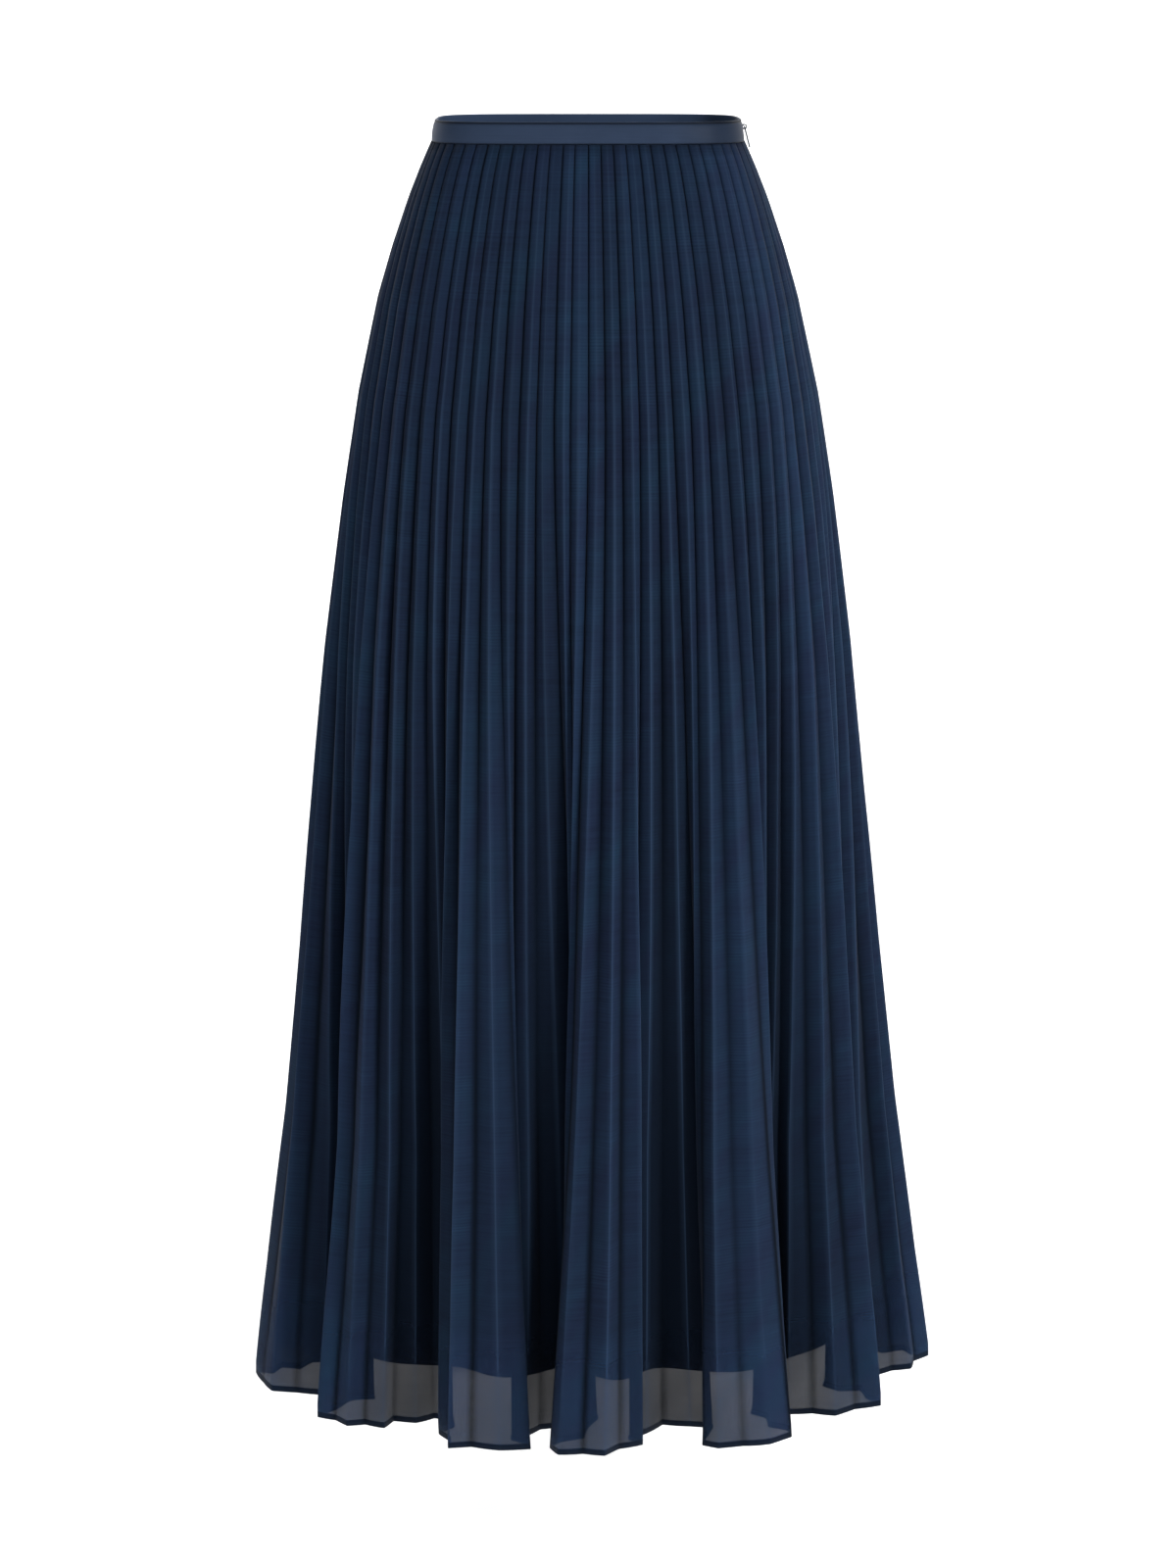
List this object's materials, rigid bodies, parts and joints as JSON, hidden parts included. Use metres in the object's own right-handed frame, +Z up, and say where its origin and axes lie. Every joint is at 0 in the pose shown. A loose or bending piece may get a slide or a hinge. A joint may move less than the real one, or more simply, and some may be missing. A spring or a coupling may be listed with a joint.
{
  "type": "pleated maxi skirt",
  "caption": "Long sheer pleated skirt with a smooth waistband, an opaque inner lining and a concealed side zip, in its hollow worn form",
  "frame": {"origin": "the centre of the waistband's top edge, where the wearer's waist holds the skirt", "axes": "+Z up along the wearer, -Y to the front, +X to the wearer's left, where the zip is"},
  "size_m": [0.5514, 0.4657, 0.9971],
  "materials": {
    "satin": "smooth dark blue satin with a soft sheen",
    "chiffon": "sheer dark navy chiffon with pressed pleats and a fine crosswise weave",
    "lining": "opaque plain navy lining cloth",
    "zip_tape": "woven navy zip tape",
    "zip_metal": "navy lacquered zip coil, slider and pull"
  },
  "bodies": {
    "skirt": {"waistband_front": "satin", "waistband_back": "satin", "skirt_front": "chiffon", "skirt_back": "chiffon", "lining_front": "lining", "lining_back": "lining", "zip_tape_front": "zip_tape", "zip_tape_back": "zip_tape", "zip_coil": "zip_metal", "zip_slider": "zip_metal"},
    "pull": {"zip_pull": "zip_metal"}
  },
  "joints": [
    {"name": "pull_hinge", "type": "hinge", "parent": "skirt", "child": "pull", "pos_m": [0.1186, 0, -0.0065], "axis": [0, -1, 0], "range_deg": [0, 120]}
  ]
}
